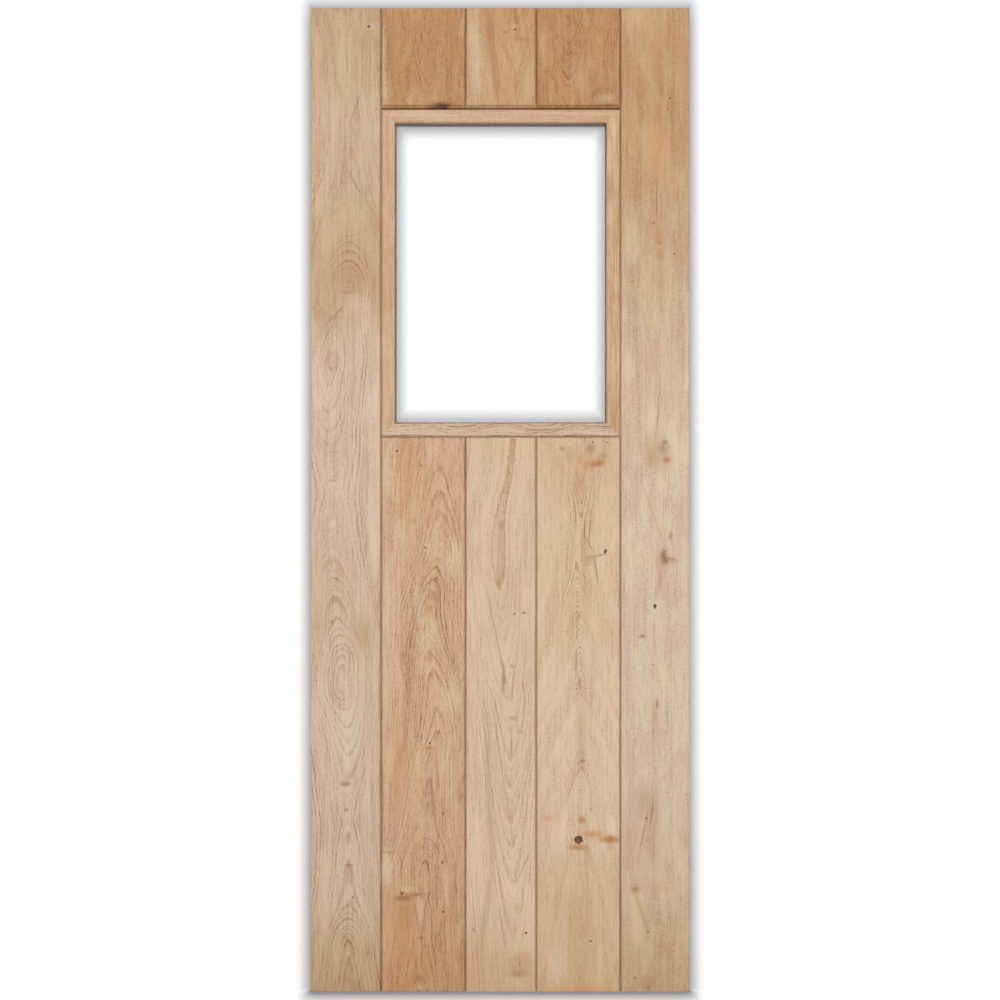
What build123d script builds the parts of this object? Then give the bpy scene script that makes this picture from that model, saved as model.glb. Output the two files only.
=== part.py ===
"""Ledged cottage door leaf in oak, with one mitred and glazed window.

Five upright boards, tongued, grooved and V-jointed, are held by three ledges across the back. The three
middle boards are cut for the window, whose frame has a nose between the board ends and a flange that laps
over the backs of the boards. The pane sits in the frame's rebate on tape and setting blocks, under pinned
beads. Screws go in from the back, each under an oak pellet, so that none shows on the face.

Millimetres. X runs across the leaf, Y from its face to its back and Z up. The origin is at the middle of
the leaf's thickness and width, on its bottom edge. The boards' face is at -Y.
"""
from build123d import *
import os

# The leaf. The outer boards share what the middle ones leave of its width, the left one a little more.
LEAF_WIDTH = 762.0
LEAF_HEIGHT = 1981.0
MIDDLE_BOARD_WIDTHS = (170.0, 142.5, 169.5)
LEFT_BOARD_EXTRA = 3.0
BOARD_THICKNESS = 20.0
EDGE_ARRIS = 1.0

# The joint between two boards
JOINT_GAP = 1.0
FACE_V = 3.2
BACK_V = 2.0
TONGUE_THICKNESS = 6.0
TONGUE_DEPTH = 8.0
TONGUE_CLEARANCE = 0.2
GROOVE_END_CLEARANCE = 1.0

# The window frame, measured on the outline of its nose
UPPER_BOARD_LENGTH = 200.5
UPPER_END_CHAMFER = 6.0
UPPER_END_GAP = 3.5
LOWER_END_GAP = 1.0
FRAME_HEIGHT = 659.0
FRAME_FACE = 27.0
FRAME_ARRIS = 1.5
FRAME_LAP = 28.0
MITRE_GAP = 0.1

# The glazing
REBATE_WIDTH = 10.0
REBATE_LIP = 20.0
PANE_THICKNESS = 4.0
PANE_EDGE_CLEARANCE = 2.0
TAPE_THICKNESS = 1.0
TAPE_SHOWS = 2.5
TAPE_COVER = 8.0
BEAD_SIDE_CLEARANCE = 0.2
BEAD_CHAMFER = 3.0
BLOCK_LENGTH = 60.0
BLOCK_INSET = 70.0
PIN_RADIUS = 0.75
PIN_LENGTH = 20.0
PIN_CLEARANCE = 0.05
PIN_DEPTH = 10.0
JAMB_PINS = 3
RAIL_PINS = 2

# The ledges
LEDGE_THICKNESS = 20.0
LEDGE_HEIGHT = 140.0
LEDGE_END_SETBACK = 20.0
LEDGE_CHAMFER = 6.0
BOTTOM_LEDGE_MIDDLE = 230.0
LEDGE_FRAME_GAP = 12.0

# What knots have left in the face: a dead knot's hole, and a scoop out of a board's end
KNOT_HOLE_ACROSS = 157.5
KNOT_HOLE_HEIGHT = 306.0
KNOT_HOLE_RADIUS = 8.0
KNOT_HOLE_DEPTH = 7.0
CHIP_ACROSS = -115.5
CHIP_RADIUS = 30.0
CHIP_DEPTH = 6.0
CHIP_RISE = 7.0

# The screws and the pellets over them
SCREW_LENGTH = 30.0
SCREW_RADIUS = 2.0
SCREW_HEAD_RADIUS = 4.0
SCREW_POINT = 5.0
SCREW_CLEARANCE = 0.1
PELLET_RADIUS = 4.8
PELLET_LENGTH = 6.0
PELLET_CLEARANCE = 0.05
LEDGE_SCREW_SPREAD = 35.0
FLANGE_SCREW_INSET = 14.0
JAMB_SCREWS = 3

# Levels through the thickness and up the height that follow from the sizes above
BACK = (BOARD_THICKNESS + LEDGE_THICKNESS) / 2
FACE = -BACK
BOARD_BACK = FACE + BOARD_THICKNESS
TONGUE_MIDDLE = (FACE + BOARD_BACK) / 2
LIP_BACK = FACE + REBATE_LIP
PANE_FACE = LIP_BACK + TAPE_THICKNESS
PANE_BACK = PANE_FACE + PANE_THICKNESS
HEAD_TOP = BACK - PELLET_LENGTH
SCREW_TIP = HEAD_TOP - SCREW_LENGTH

RIGHT_BOARD_WIDTH = (LEAF_WIDTH - sum(MIDDLE_BOARD_WIDTHS) - LEFT_BOARD_EXTRA) / 2
LEFT_BOARD_WIDTH = RIGHT_BOARD_WIDTH + LEFT_BOARD_EXTRA
BOARD_WIDTHS = (LEFT_BOARD_WIDTH, *MIDDLE_BOARD_WIDTHS, RIGHT_BOARD_WIDTH)
JOINTS = [sum(BOARD_WIDTHS[:count]) - LEAF_WIDTH / 2 for count in range(len(BOARD_WIDTHS) + 1)]

UPPER_BOARD_FOOT = LEAF_HEIGHT - UPPER_BOARD_LENGTH
FRAME_TOP = UPPER_BOARD_FOOT - UPPER_END_GAP
FRAME_FOOT = FRAME_TOP - FRAME_HEIGHT
LOWER_BOARD_TOP = FRAME_FOOT - LOWER_END_GAP
FRAME_LEFT = JOINTS[1] + JOINT_GAP / 2
FRAME_RIGHT = JOINTS[-2] - JOINT_GAP / 2
FRAME_WIDTH = FRAME_RIGHT - FRAME_LEFT
REBATE_WALL = FRAME_FACE - REBATE_WIDTH

LEDGE_LENGTH = LEAF_WIDTH - 2 * LEDGE_END_SETBACK
MIDDLE_LEDGE_MIDDLE = FRAME_FOOT - FRAME_LAP - LEDGE_FRAME_GAP - LEDGE_HEIGHT / 2
TOP_LEDGE_MIDDLE = FRAME_TOP + FRAME_LAP + LEDGE_FRAME_GAP + LEDGE_HEIGHT / 2
LEDGE_MIDDLES = {"bottom": BOTTOM_LEDGE_MIDDLE, "middle": MIDDLE_LEDGE_MIDDLE, "top": TOP_LEDGE_MIDDLE}

# Each side of the frame: the corner of its nose where it starts, the way to the pane, the way along, its length
RIGHTWARD, LEFTWARD, UPWARD, DOWNWARD = (1, 0, 0), (-1, 0, 0), (0, 0, 1), (0, 0, -1)
FRAME_SIDES = {
    "left": ((FRAME_LEFT, 0, FRAME_FOOT), RIGHTWARD, UPWARD, FRAME_HEIGHT),
    "top": ((FRAME_LEFT, 0, FRAME_TOP), DOWNWARD, RIGHTWARD, FRAME_WIDTH),
    "right": ((FRAME_RIGHT, 0, FRAME_TOP), LEFTWARD, DOWNWARD, FRAME_HEIGHT),
    "bottom": ((FRAME_RIGHT, 0, FRAME_FOOT), UPWARD, LEFTWARD, FRAME_WIDTH),
}


def outline(points):
    """A flat face inside straight lines from point to point."""
    return make_face(Polyline(*points, close=True))


def prism(points, plane, length):
    """An outline drawn on a plane, drawn out by a length along the plane's normal."""
    return plane * extrude(outline(points), amount=length, dir=(0, 0, 1))


def turned(points, x, z):
    """A solid turned about a line through (x, z) that runs from face to back. Points are (radius, y)."""
    return Pos(x, 0, z) * revolve(outline(points), axis=Axis.Y)


def cut_from(solid, cutters):
    """The solid less each cutter."""
    for cutter in cutters:
        solid = solid - cutter
    return solid


def corner_cutter(y, z, size, inward_y, inward_z):
    """A three-sided strip across the leaf that takes a chamfer off the edge at (y, z)."""
    past = size
    points = [
        (y - inward_y * past, z - inward_z * past),
        (y + inward_y * size, z - inward_z * past),
        (y + inward_y * size, z),
        (y, z + inward_z * size),
        (y - inward_y * past, z + inward_z * size),
    ]
    return prism(points, Plane.YZ.offset(-LEAF_WIDTH), 2 * LEAF_WIDTH)


def left_edge(x, tongued):
    """The left edge of a board's section, from back to face, with or without a tongue."""
    if not tongued:
        return [(x + EDGE_ARRIS, BOARD_BACK), (x, BOARD_BACK - EDGE_ARRIS),
                (x, FACE + EDGE_ARRIS), (x + EDGE_ARRIS, FACE)]
    half = TONGUE_THICKNESS / 2
    return [
        (x + BACK_V, BOARD_BACK), (x, BOARD_BACK - BACK_V),
        (x, TONGUE_MIDDLE + half), (x - TONGUE_DEPTH, TONGUE_MIDDLE + half),
        (x - TONGUE_DEPTH, TONGUE_MIDDLE - half), (x, TONGUE_MIDDLE - half),
        (x, FACE + FACE_V), (x + FACE_V, FACE),
    ]


def right_edge(x, grooved):
    """The right edge of a board's section, from face to back, with or without a groove."""
    if not grooved:
        return [(x - EDGE_ARRIS, FACE), (x, FACE + EDGE_ARRIS),
                (x, BOARD_BACK - EDGE_ARRIS), (x - EDGE_ARRIS, BOARD_BACK)]
    half = TONGUE_THICKNESS / 2 + TONGUE_CLEARANCE
    depth = TONGUE_DEPTH - JOINT_GAP + GROOVE_END_CLEARANCE
    return [
        (x - FACE_V, FACE), (x, FACE + FACE_V),
        (x, TONGUE_MIDDLE - half), (x - depth, TONGUE_MIDDLE - half),
        (x - depth, TONGUE_MIDDLE + half), (x, TONGUE_MIDDLE + half),
        (x, BOARD_BACK - BACK_V), (x - BACK_V, BOARD_BACK),
    ]


def board(place, foot, top, end_cutters, screw_points):
    """One upright board. place counts from 0 at the left, and foot and top are its heights."""
    first, last = place == 0, place == len(BOARD_WIDTHS) - 1
    left = JOINTS[place] + (0 if first else JOINT_GAP / 2)
    right = JOINTS[place + 1] - (0 if last else JOINT_GAP / 2)
    section = left_edge(left, tongued=not first) + right_edge(right, grooved=not last)
    solid = prism(section, Plane.XY.offset(foot), top - foot)
    held = [(x, z) for x, z in screw_points if left < x < right and foot < z < top]
    return cut_from(solid, end_cutters + [pilot_hole(x, z) for x, z in held])


def tongue_clearance():
    """The space by the right jamb, where the right board's tongue is planed off."""
    half = TONGUE_THICKNESS / 2
    right = JOINTS[-2] + JOINT_GAP / 2
    points = [(right - TONGUE_DEPTH, TONGUE_MIDDLE - half), (right, TONGUE_MIDDLE - half),
              (right, TONGUE_MIDDLE + half), (right - TONGUE_DEPTH, TONGUE_MIDDLE + half)]
    return prism(points, Plane.XY.offset(LOWER_BOARD_TOP), UPPER_BOARD_FOOT - LOWER_BOARD_TOP)


def knot_hole():
    """The hole that a dead knot has left in the lower right board, wide at the face and round at the bottom."""
    floor = KNOT_HOLE_RADIUS / 2
    profile = Polyline((floor, FACE + KNOT_HOLE_DEPTH), (0, FACE + KNOT_HOLE_DEPTH), (0, FACE - 1),
                       (KNOT_HOLE_RADIUS, FACE - 1), (KNOT_HOLE_RADIUS, FACE))
    wall = RadiusArc((KNOT_HOLE_RADIUS, FACE), (floor, FACE + KNOT_HOLE_DEPTH), -2 * KNOT_HOLE_RADIUS)
    return Pos(KNOT_HOLE_ACROSS, 0, KNOT_HOLE_HEIGHT) * revolve(make_face([profile, wall]), axis=Axis.Y)


def end_chip():
    """The scoop where a knot has broken out of the upper left board's face at its end."""
    reach = CHIP_RADIUS - CHIP_DEPTH
    half_width = (CHIP_RADIUS**2 - reach**2) ** 0.5
    arris = UPPER_BOARD_FOOT + UPPER_END_CHAMFER
    return Pos(CHIP_ACROSS, FACE - reach, arris + CHIP_RISE - half_width) * Sphere(CHIP_RADIUS)


def ledge(middle, screw_points):
    """One ledge across the back, chamfered round its back face, with a stepped hole for each screw."""
    size = (LEDGE_LENGTH, LEDGE_THICKNESS, LEDGE_HEIGHT)
    block = Pos(0, BOARD_BACK + LEDGE_THICKNESS / 2, middle) * Box(*size)
    block = chamfer(block.faces().sort_by(Axis.Y)[-1].edges(), LEDGE_CHAMFER)
    return cut_from(block, [stepped_hole(x, z) for x, z in screw_points])


def screw(x, z):
    """A countersunk wood screw, its head under a pellet and its point in the board. Its thread is left out."""
    neck = HEAD_TOP - (SCREW_HEAD_RADIUS - SCREW_RADIUS)
    points = [(0, HEAD_TOP), (SCREW_HEAD_RADIUS, HEAD_TOP), (SCREW_RADIUS, neck),
              (SCREW_RADIUS, SCREW_TIP + SCREW_POINT), (0, SCREW_TIP)]
    return turned(points, x, z)


def stepped_hole(x, z):
    """What a screw and its pellet need cut from a ledge or flange."""
    past = 1.0
    pellet = PELLET_RADIUS + PELLET_CLEARANCE
    head, shank = SCREW_HEAD_RADIUS + SCREW_CLEARANCE, SCREW_RADIUS + SCREW_CLEARANCE
    points = [(0, BACK + past), (pellet, BACK + past), (pellet, HEAD_TOP), (head, HEAD_TOP),
              (shank, HEAD_TOP - (head - shank)), (shank, BOARD_BACK - past), (0, BOARD_BACK - past)]
    return turned(points, x, z)


def pilot_hole(x, z):
    """What a screw needs cut from the back of a board."""
    past = 1.0
    radius = SCREW_RADIUS + SCREW_CLEARANCE
    points = [(0, BOARD_BACK + past), (radius, BOARD_BACK + past),
              (radius, SCREW_TIP + SCREW_POINT), (0, SCREW_TIP - SCREW_CLEARANCE)]
    return turned(points, x, z)


def pellet(x, z):
    """The oak plug over a screw's head, cut flush with the back."""
    points = [(0, HEAD_TOP), (PELLET_RADIUS, HEAD_TOP), (PELLET_RADIUS, BACK), (0, BACK)]
    return turned(points, x, z)


def mitred(section, side):
    """A length of the section round one side of the window, cut at 45 degrees at both ends.

    Section points are (distance from the nose's outer edge towards the pane, y).
    """
    corner, inward, along, length = FRAME_SIDES[side]
    outer = min(u for u, _ in section)
    inner = max(u for u, _ in section)
    gap = MITRE_GAP / 2
    start = Vector(*corner) + Vector(*along) * outer
    bar = prism(section, Plane(start, x_dir=inward, z_dir=along), length - 2 * outer)
    ends = [(outer, outer + gap), (inner, inner + gap),
            (inner, length - inner - gap), (outer, length - outer - gap)]
    behind = Vector(*corner) + Vector(0, BACK, 0)
    return bar & prism(ends, Plane(behind, x_dir=inward, z_dir=(0, -1, 0)), BACK - FACE)


def frame_section():
    """The frame's section: a nose between the board ends, a flange behind them and a rebate for the pane."""
    return [
        (FACE_V, FACE), (FRAME_FACE - FRAME_ARRIS, FACE), (FRAME_FACE, FACE + FRAME_ARRIS),
        (FRAME_FACE, LIP_BACK), (REBATE_WALL, LIP_BACK), (REBATE_WALL, BACK),
        (LEDGE_CHAMFER - FRAME_LAP, BACK), (-FRAME_LAP, BACK - LEDGE_CHAMFER), (-FRAME_LAP, BOARD_BACK),
        (0, BOARD_BACK), (0, FACE + FACE_V),
    ]


def bead_section():
    """The bead's section, from the pane to the back of the frame."""
    wall = REBATE_WALL + BEAD_SIDE_CLEARANCE
    return [(wall, PANE_BACK), (FRAME_FACE, PANE_BACK), (FRAME_FACE, BACK - BEAD_CHAMFER),
            (FRAME_FACE - BEAD_CHAMFER, BACK), (wall, BACK)]


def tape_section():
    """The tape's section, between the lip and the pane, standing a little past the lip."""
    return [(FRAME_FACE - TAPE_COVER, LIP_BACK), (FRAME_FACE + TAPE_SHOWS, LIP_BACK),
            (FRAME_FACE + TAPE_SHOWS, PANE_FACE), (FRAME_FACE - TAPE_COVER, PANE_FACE)]


def on_side(side, inset, share):
    """A point on one side of the frame, inset from its nose's outer edge, at a share of its length."""
    corner, inward, along, length = FRAME_SIDES[side]
    return Vector(*corner) + Vector(*inward) * inset + Vector(*along) * (length * share)


def pin(side, share, clearance=0.0):
    """A panel pin through a bead into the frame, or with a clearance the hole for it."""
    inward = Vector(*FRAME_SIDES[side][1])
    head = on_side(side, FRAME_FACE, share) + Vector(0, BACK - PIN_DEPTH, 0)
    plane = Plane(head + inward * clearance, z_dir=inward * -1)
    return plane * extrude(Circle(PIN_RADIUS + clearance), amount=PIN_LENGTH + 2 * clearance)


def evenly(count):
    """Shares of a length that put a number of fixings evenly along it, half a step from each end."""
    return [(number + 0.5) / count for number in range(count)]


def pane_blocks():
    """The two setting blocks that carry the pane's lower edge."""
    foot = FRAME_FOOT + REBATE_WALL
    inset = REBATE_WALL + BLOCK_INSET + BLOCK_LENGTH / 2
    size = (BLOCK_LENGTH, PANE_THICKNESS, PANE_EDGE_CLEARANCE)
    middles = (FRAME_LEFT + inset, FRAME_RIGHT - inset)
    return [Pos(x, (PANE_FACE + PANE_BACK) / 2, foot + PANE_EDGE_CLEARANCE / 2) * Box(*size) for x in middles]


def pane():
    """The sheet of clear glass."""
    margin = REBATE_WALL + PANE_EDGE_CLEARANCE
    size = (FRAME_WIDTH - 2 * margin, PANE_THICKNESS, FRAME_HEIGHT - 2 * margin)
    middle = ((FRAME_LEFT + FRAME_RIGHT) / 2, (PANE_FACE + PANE_BACK) / 2, (FRAME_FOOT + FRAME_TOP) / 2)
    return Pos(*middle) * Box(*size)


def ledge_screw_points(middle):
    """Two screws in each board, one above and one below the ledge's middle."""
    points = []
    for place, width in enumerate(BOARD_WIDTHS):
        centre = JOINTS[place] + width / 2
        points.append((centre - width / 4, middle + LEDGE_SCREW_SPREAD))
        points.append((centre + width / 4, middle - LEDGE_SCREW_SPREAD))
    return points


def flange_screw_points():
    """The flange's screws by side: some in each outer board, and one in each board that meets a rail."""
    points = {}
    for side in ("left", "right"):
        places = [on_side(side, -FLANGE_SCREW_INSET, share) for share in evenly(JAMB_SCREWS)]
        points[side] = [(place.X, place.Z) for place in places]
    middles = [(JOINTS[place] + JOINTS[place + 1]) / 2 for place in range(1, len(BOARD_WIDTHS) - 1)]
    points["top"] = [(x, FRAME_TOP + FLANGE_SCREW_INSET) for x in middles]
    points["bottom"] = [(x, FRAME_FOOT - FLANGE_SCREW_INSET) for x in middles]
    return points


def boards(screw_points):
    """The eight boards by name."""
    foot_cutters = [corner_cutter(FACE, 0, EDGE_ARRIS, 1, 1), corner_cutter(BOARD_BACK, 0, EDGE_ARRIS, -1, 1)]
    top_cutters = [corner_cutter(FACE, LEAF_HEIGHT, EDGE_ARRIS, 1, -1),
                   corner_cutter(BOARD_BACK, LEAF_HEIGHT, EDGE_ARRIS, -1, -1)]
    above_frame = top_cutters + [corner_cutter(FACE, UPPER_BOARD_FOOT, UPPER_END_CHAMFER, 1, 1)]
    below_frame = foot_cutters + [corner_cutter(FACE, LOWER_BOARD_TOP, FACE_V, 1, -1)]
    whole = foot_cutters + top_cutters
    last = len(BOARD_WIDTHS) - 1
    made = {
        "left_outer_board": board(0, 0, LEAF_HEIGHT, whole, screw_points),
        "right_outer_board": board(last, 0, LEAF_HEIGHT, whole + [tongue_clearance()], screw_points),
    }
    for place, name in enumerate(("left", "middle", "right"), start=1):
        made[f"upper_{name}_board"] = board(place, UPPER_BOARD_FOOT, LEAF_HEIGHT, above_frame, screw_points)
        made[f"lower_{name}_board"] = board(place, 0, LOWER_BOARD_TOP, below_frame, screw_points)
    made["upper_left_board"] -= end_chip()
    made["lower_right_board"] -= knot_hole()
    return made


def window(flange_points):
    """The window's frame, tape, pane, blocks, beads and pins by name."""
    made = {"glass_pane": pane(), "setting_blocks": pane_blocks(), "glazing_tape": [], "bead_pins": []}
    for side in FRAME_SIDES:
        upright = side in ("left", "right")
        shares = evenly(JAMB_PINS if upright else RAIL_PINS)
        pin_holes = [pin(side, share, PIN_CLEARANCE) for share in shares]
        screw_holes = [stepped_hole(x, z) for x, z in flange_points[side]]
        kind = "jamb" if upright else "rail"
        made[f"window_{side}_{kind}"] = cut_from(mitred(frame_section(), side), screw_holes + pin_holes)
        made[f"{side}_glazing_bead"] = cut_from(mitred(bead_section(), side), pin_holes)
        made["glazing_tape"].append(mitred(tape_section(), side))
        made["bead_pins"] += [pin(side, share) for share in shares]
    return made


def door():
    """Every sub-part by name. A list is a group of like pieces in one node."""
    flange_points = flange_screw_points()
    fixings = {"window_frame": [point for points in flange_points.values() for point in points]}
    fixings |= {f"{name}_ledge": ledge_screw_points(middle) for name, middle in LEDGE_MIDDLES.items()}
    made = boards([point for points in fixings.values() for point in points])
    for name, middle in LEDGE_MIDDLES.items():
        made[f"{name}_ledge"] = ledge(middle, fixings[f"{name}_ledge"])
    made |= window(flange_points)
    for name, points in fixings.items():
        made[f"{name}_screws"] = [screw(x, z) for x, z in points]
        made[f"{name}_pellets"] = [pellet(x, z) for x, z in points]
    return made


os.makedirs("parts", exist_ok=True)
for node, shape in door().items():
    solid = Compound(children=shape) if isinstance(shape, list) else shape
    export_step(solid, f"parts/{node}.step")
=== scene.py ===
"""The oak, glass and small fittings of a ledged cottage door leaf, with the light and camera of its picture.

Metres, in the leaf's own frame: X runs across it, Y from its face to its back and Z up from its foot.
"""
import math
from dataclasses import dataclass

import bpy
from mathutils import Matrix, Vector


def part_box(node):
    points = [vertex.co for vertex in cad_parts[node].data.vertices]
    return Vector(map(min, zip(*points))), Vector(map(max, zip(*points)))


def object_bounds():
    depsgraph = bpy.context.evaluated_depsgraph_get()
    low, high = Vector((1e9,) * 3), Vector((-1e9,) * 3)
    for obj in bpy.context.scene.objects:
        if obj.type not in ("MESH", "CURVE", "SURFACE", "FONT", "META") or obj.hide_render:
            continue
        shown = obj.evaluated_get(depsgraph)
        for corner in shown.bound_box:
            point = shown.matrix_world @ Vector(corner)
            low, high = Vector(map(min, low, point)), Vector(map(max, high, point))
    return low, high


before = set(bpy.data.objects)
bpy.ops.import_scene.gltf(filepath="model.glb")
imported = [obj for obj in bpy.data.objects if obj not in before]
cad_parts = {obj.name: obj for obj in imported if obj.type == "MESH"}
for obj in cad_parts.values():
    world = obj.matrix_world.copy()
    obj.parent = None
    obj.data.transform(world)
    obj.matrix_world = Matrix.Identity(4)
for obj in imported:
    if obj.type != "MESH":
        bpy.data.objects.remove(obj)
cad_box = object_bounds()

# Places on the leaf are written in millimetres, as a joiner would mark them out
MM = 0.001

# The picture: how far off it was taken, and how much of the face's plane it takes in
CAMERA_DISTANCE = 3.857
PICTURE_WIDTH = 2.0135
SENSOR_WIDTH = 36.0

# Light: a broad round lamp before the leaf, another behind it, and a little from the sky
LAMP_DISTANCE = 6.0
LAMP_RADIUS = 4.4
LAMP_RISE = 1.9
LAMP_POWER = 446.0
SKY_STRENGTH = 0.28

# The stage
WALL_GAP = 0.0025
FLOOR_GAP = 0.006
STAGE_SIZE = 9.0
STAGE_ALBEDO = 0.97

# The stage's own glow near the leaf, and where it grows to a full white, far from the lamps' light
WALL_LIFT = 0.16
FLOOR_LIFT = 0.28
WHITE_FROM = 1.6
WHITE_BY = 4.0

# The painted soft shadow round the leaf, a grey rim on the wall and floor. Depths and reaches are for its
# sides, the floor and its head
RIM_WIDTH = 0.039
RIM_DEPTHS = (0.53, 0.822, 0.60)
RIM_REACH = (1.0, 0.253, 0.77)
RIM_TINT = (1.04, 1.0, 0.95)
RIM_FALL = 1.5
RIM_START = 0.00001

# The same painted shadow inside the opening, and how far in from the pane's edges it starts, at the sides and
# the sill
OPENING_RIM_WIDTH = 0.051
OPENING_RIM_DEPTH = 0.70
OPENING_INSET = 0.0105
SILL_INSET = 0.0155

FACE = cad_box[0].y
LEAF_HEIGHT = cad_box[1].z


def paint(red, green, blue):
    """A colour as it shows on a screen, out of 255, turned into the linear one that a shader takes."""
    def linear(level):
        share = level / 255
        return share / 12.92 if share <= 0.04045 else ((share + 0.055) / 1.055) ** 2.4
    return (linear(red), linear(green), linear(blue), 1.0)


class Tree:
    """A node tree being written. Most of its methods add a node and give back the node's output."""

    def __init__(self, node_tree):
        self.tree = node_tree

    def node(self, kind, *values, **settings):
        """A node with its first inputs filled in order, each with a value or another node's output."""
        made = self.tree.nodes.new(kind)
        for name, setting in settings.items():
            setattr(made, name, setting)
        for socket, value in zip([s for s in made.inputs if s.enabled], values):
            self.fill(socket, value)
        return made

    def fill(self, socket, value):
        """Puts a value in a socket, or joins an output to it. None leaves it as it is."""
        if value is None:
            return
        if isinstance(value, bpy.types.NodeSocket):
            self.tree.links.new(value, socket)
        else:
            socket.default_value = value

    def maths(self, operation, *values):
        return self.node("ShaderNodeMath", *values, operation=operation).outputs[0]

    def add(self, a, b):
        return self.maths("ADD", a, b)

    def times(self, a, b):
        return self.maths("MULTIPLY", a, b)

    def vector(self, operation, *values):
        return self.node("ShaderNodeVectorMath", *values, operation=operation).outputs[0]

    def joined(self, x, y, z):
        return self.node("ShaderNodeCombineXYZ", x, y, z).outputs[0]

    def parts(self, vector):
        return self.node("ShaderNodeSeparateXYZ", vector).outputs

    def noise(self, place, scale, detail=2.0, roughness=0.5):
        """Smooth noise about 0.5."""
        made = self.node("ShaderNodeTexNoise")
        filled = {"Vector": place, "Scale": scale, "Detail": detail, "Roughness": roughness}
        for name, value in filled.items():
            self.fill(made.inputs[name], value)
        return made.outputs["Fac"]

    def swing(self, value, size):
        """A value about 0.5 turned into one about 0 that reaches size either way."""
        return self.times(self.maths("MULTIPLY_ADD", value, 2.0, -1.0), size)

    def between(self, value, low, high, to_low=0.0, to_high=1.0, kind="SMOOTHSTEP"):
        """A value carried over from one range to another, and held at its ends."""
        made = self.node("ShaderNodeMapRange", interpolation_type=kind)
        names = ("Value", "From Min", "From Max", "To Min", "To Max")
        for name, filled in zip(names, (value, low, high, to_low, to_high)):
            self.fill(made.inputs[name], filled)
        return made.outputs["Result"]

    def mix(self, amount, under, over, blend_type="MIX"):
        made = self.node("ShaderNodeMix", data_type="RGBA", blend_type=blend_type)
        colours = [s for s in made.inputs if s.type == "RGBA"]
        self.fill(made.inputs["Factor"], amount)
        self.fill(colours[0], under)
        self.fill(colours[1], over)
        return [s for s in made.outputs if s.type == "RGBA"][0]

    def curve(self, value, points):
        """A smooth curve through (input, output) points, in their own units."""
        inputs = [p[0] for p in points]
        outputs = [p[1] for p in points]
        low, span = min(inputs), max(inputs) - min(inputs)
        floor, rise = min(outputs), (max(outputs) - min(outputs)) or 1.0
        share = self.between(value, low, low + span, kind="LINEAR")
        made = self.node("ShaderNodeFloatCurve", 1.0, share)
        line = made.mapping.curves[0]
        flat = sorted(((i - low) / span, (o - floor) / rise) for i, o in points)
        while len(line.points) < len(flat):
            line.points.new(0.5, 0.5)
        for point, (i, o) in zip(line.points, flat):
            point.location = (i, o)
            point.handle_type = "AUTO"
        made.mapping.update()
        return self.maths("MULTIPLY_ADD", made.outputs[0], rise, floor)

    def use(self, group, **values):
        """A node group in this tree, its inputs filled by name with underscores for spaces."""
        made = self.node("ShaderNodeGroup", node_tree=group)
        for name, value in values.items():
            self.fill(made.inputs[name.replace("_", " ")], value)
        return made.outputs


def group(name, vectors, numbers, outputs, write):
    """A node group with these inputs and numbers for outputs. write takes the tree and inputs."""
    made = bpy.data.node_groups.new(name, "ShaderNodeTree")
    for label in vectors:
        made.interface.new_socket(label, in_out="INPUT", socket_type="NodeSocketVector")
    for label in numbers:
        made.interface.new_socket(label, in_out="INPUT", socket_type="NodeSocketFloat")
    for label in outputs:
        made.interface.new_socket(label, in_out="OUTPUT", socket_type="NodeSocketFloat")
    tree = Tree(made)
    source = made.nodes.new("NodeGroupInput").outputs
    sink = made.nodes.new("NodeGroupOutput").inputs
    for label, value in zip(outputs, write(tree, source)):
        tree.fill(sink[label], value)
    return made


def write_spot(tree, inputs):
    """How much a soft oval mark covers a place: 1 at its middle, 0.5 at its edge."""
    laid = tree.node("ShaderNodeMapping", vector_type="TEXTURE")
    tree.fill(laid.inputs["Vector"], inputs["Place"])
    tree.fill(laid.inputs["Location"], inputs["Middle"])
    tree.fill(laid.inputs["Rotation"], tree.joined(0.0, inputs["Lean"], 0.0))
    tree.fill(laid.inputs["Scale"], inputs["Half size"])
    reach = tree.node("ShaderNodeVectorMath", laid.outputs[0], operation="LENGTH").outputs["Value"]
    reach = tree.add(reach, inputs["Ragged"])
    inner = tree.maths("SUBTRACT", 1.0, inputs["Softness"])
    outer = tree.add(1.0, inputs["Softness"])
    return [tree.between(reach, inner, outer, 1.0, 0.0)]


SPOT = group(
    "soft oval mark",
    ("Place", "Middle", "Half size"),
    ("Lean", "Softness", "Ragged"),
    ("Cover",),
    write_spot,
)


# Noises of the oak: how many swings each makes in a metre, across the grain and then along it
DASHES = (600.0, 75.0)
VESSELS = (520.0, 70.0)
BROAD_STREAKS = (45.0, 1.8)
MIDDLING_STREAKS = (230.0, 7.0)
FINE_STREAKS = (450.0, 24.0)
RAYS = (130.0, 400.0)

# Noises as large across as along, and how much each is drawn out along the grain
WANDER_SCALE = 9.0
FADING_SCALE = 26.0
LONG_GRAIN = (1.0, 1.0, 0.22)
CRINKLE_SCALE = 105.0
CRINKLE_GRAIN = (1.0, 1.0, 0.55)

# A growth ring, in shares of its width: its late wood darkens, then stops, with a faint line before it
LATE_WOOD = (0.45, 0.84)
RING_END = (0.90, 1.0)
FAINT_LINE = 0.36
FAINT_HALF_WIDTH = 0.14
RING_UNEVENNESS = 0.8
YEAR_SCALE = 0.45
SHALLOWEST_HEART = 0.0015

# How strong a ring's two lines are, from the faintest ring to the boldest
BOLDNESS = (0.25, 1.0)
FAINTNESS = (0.55, 0.15)

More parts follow.
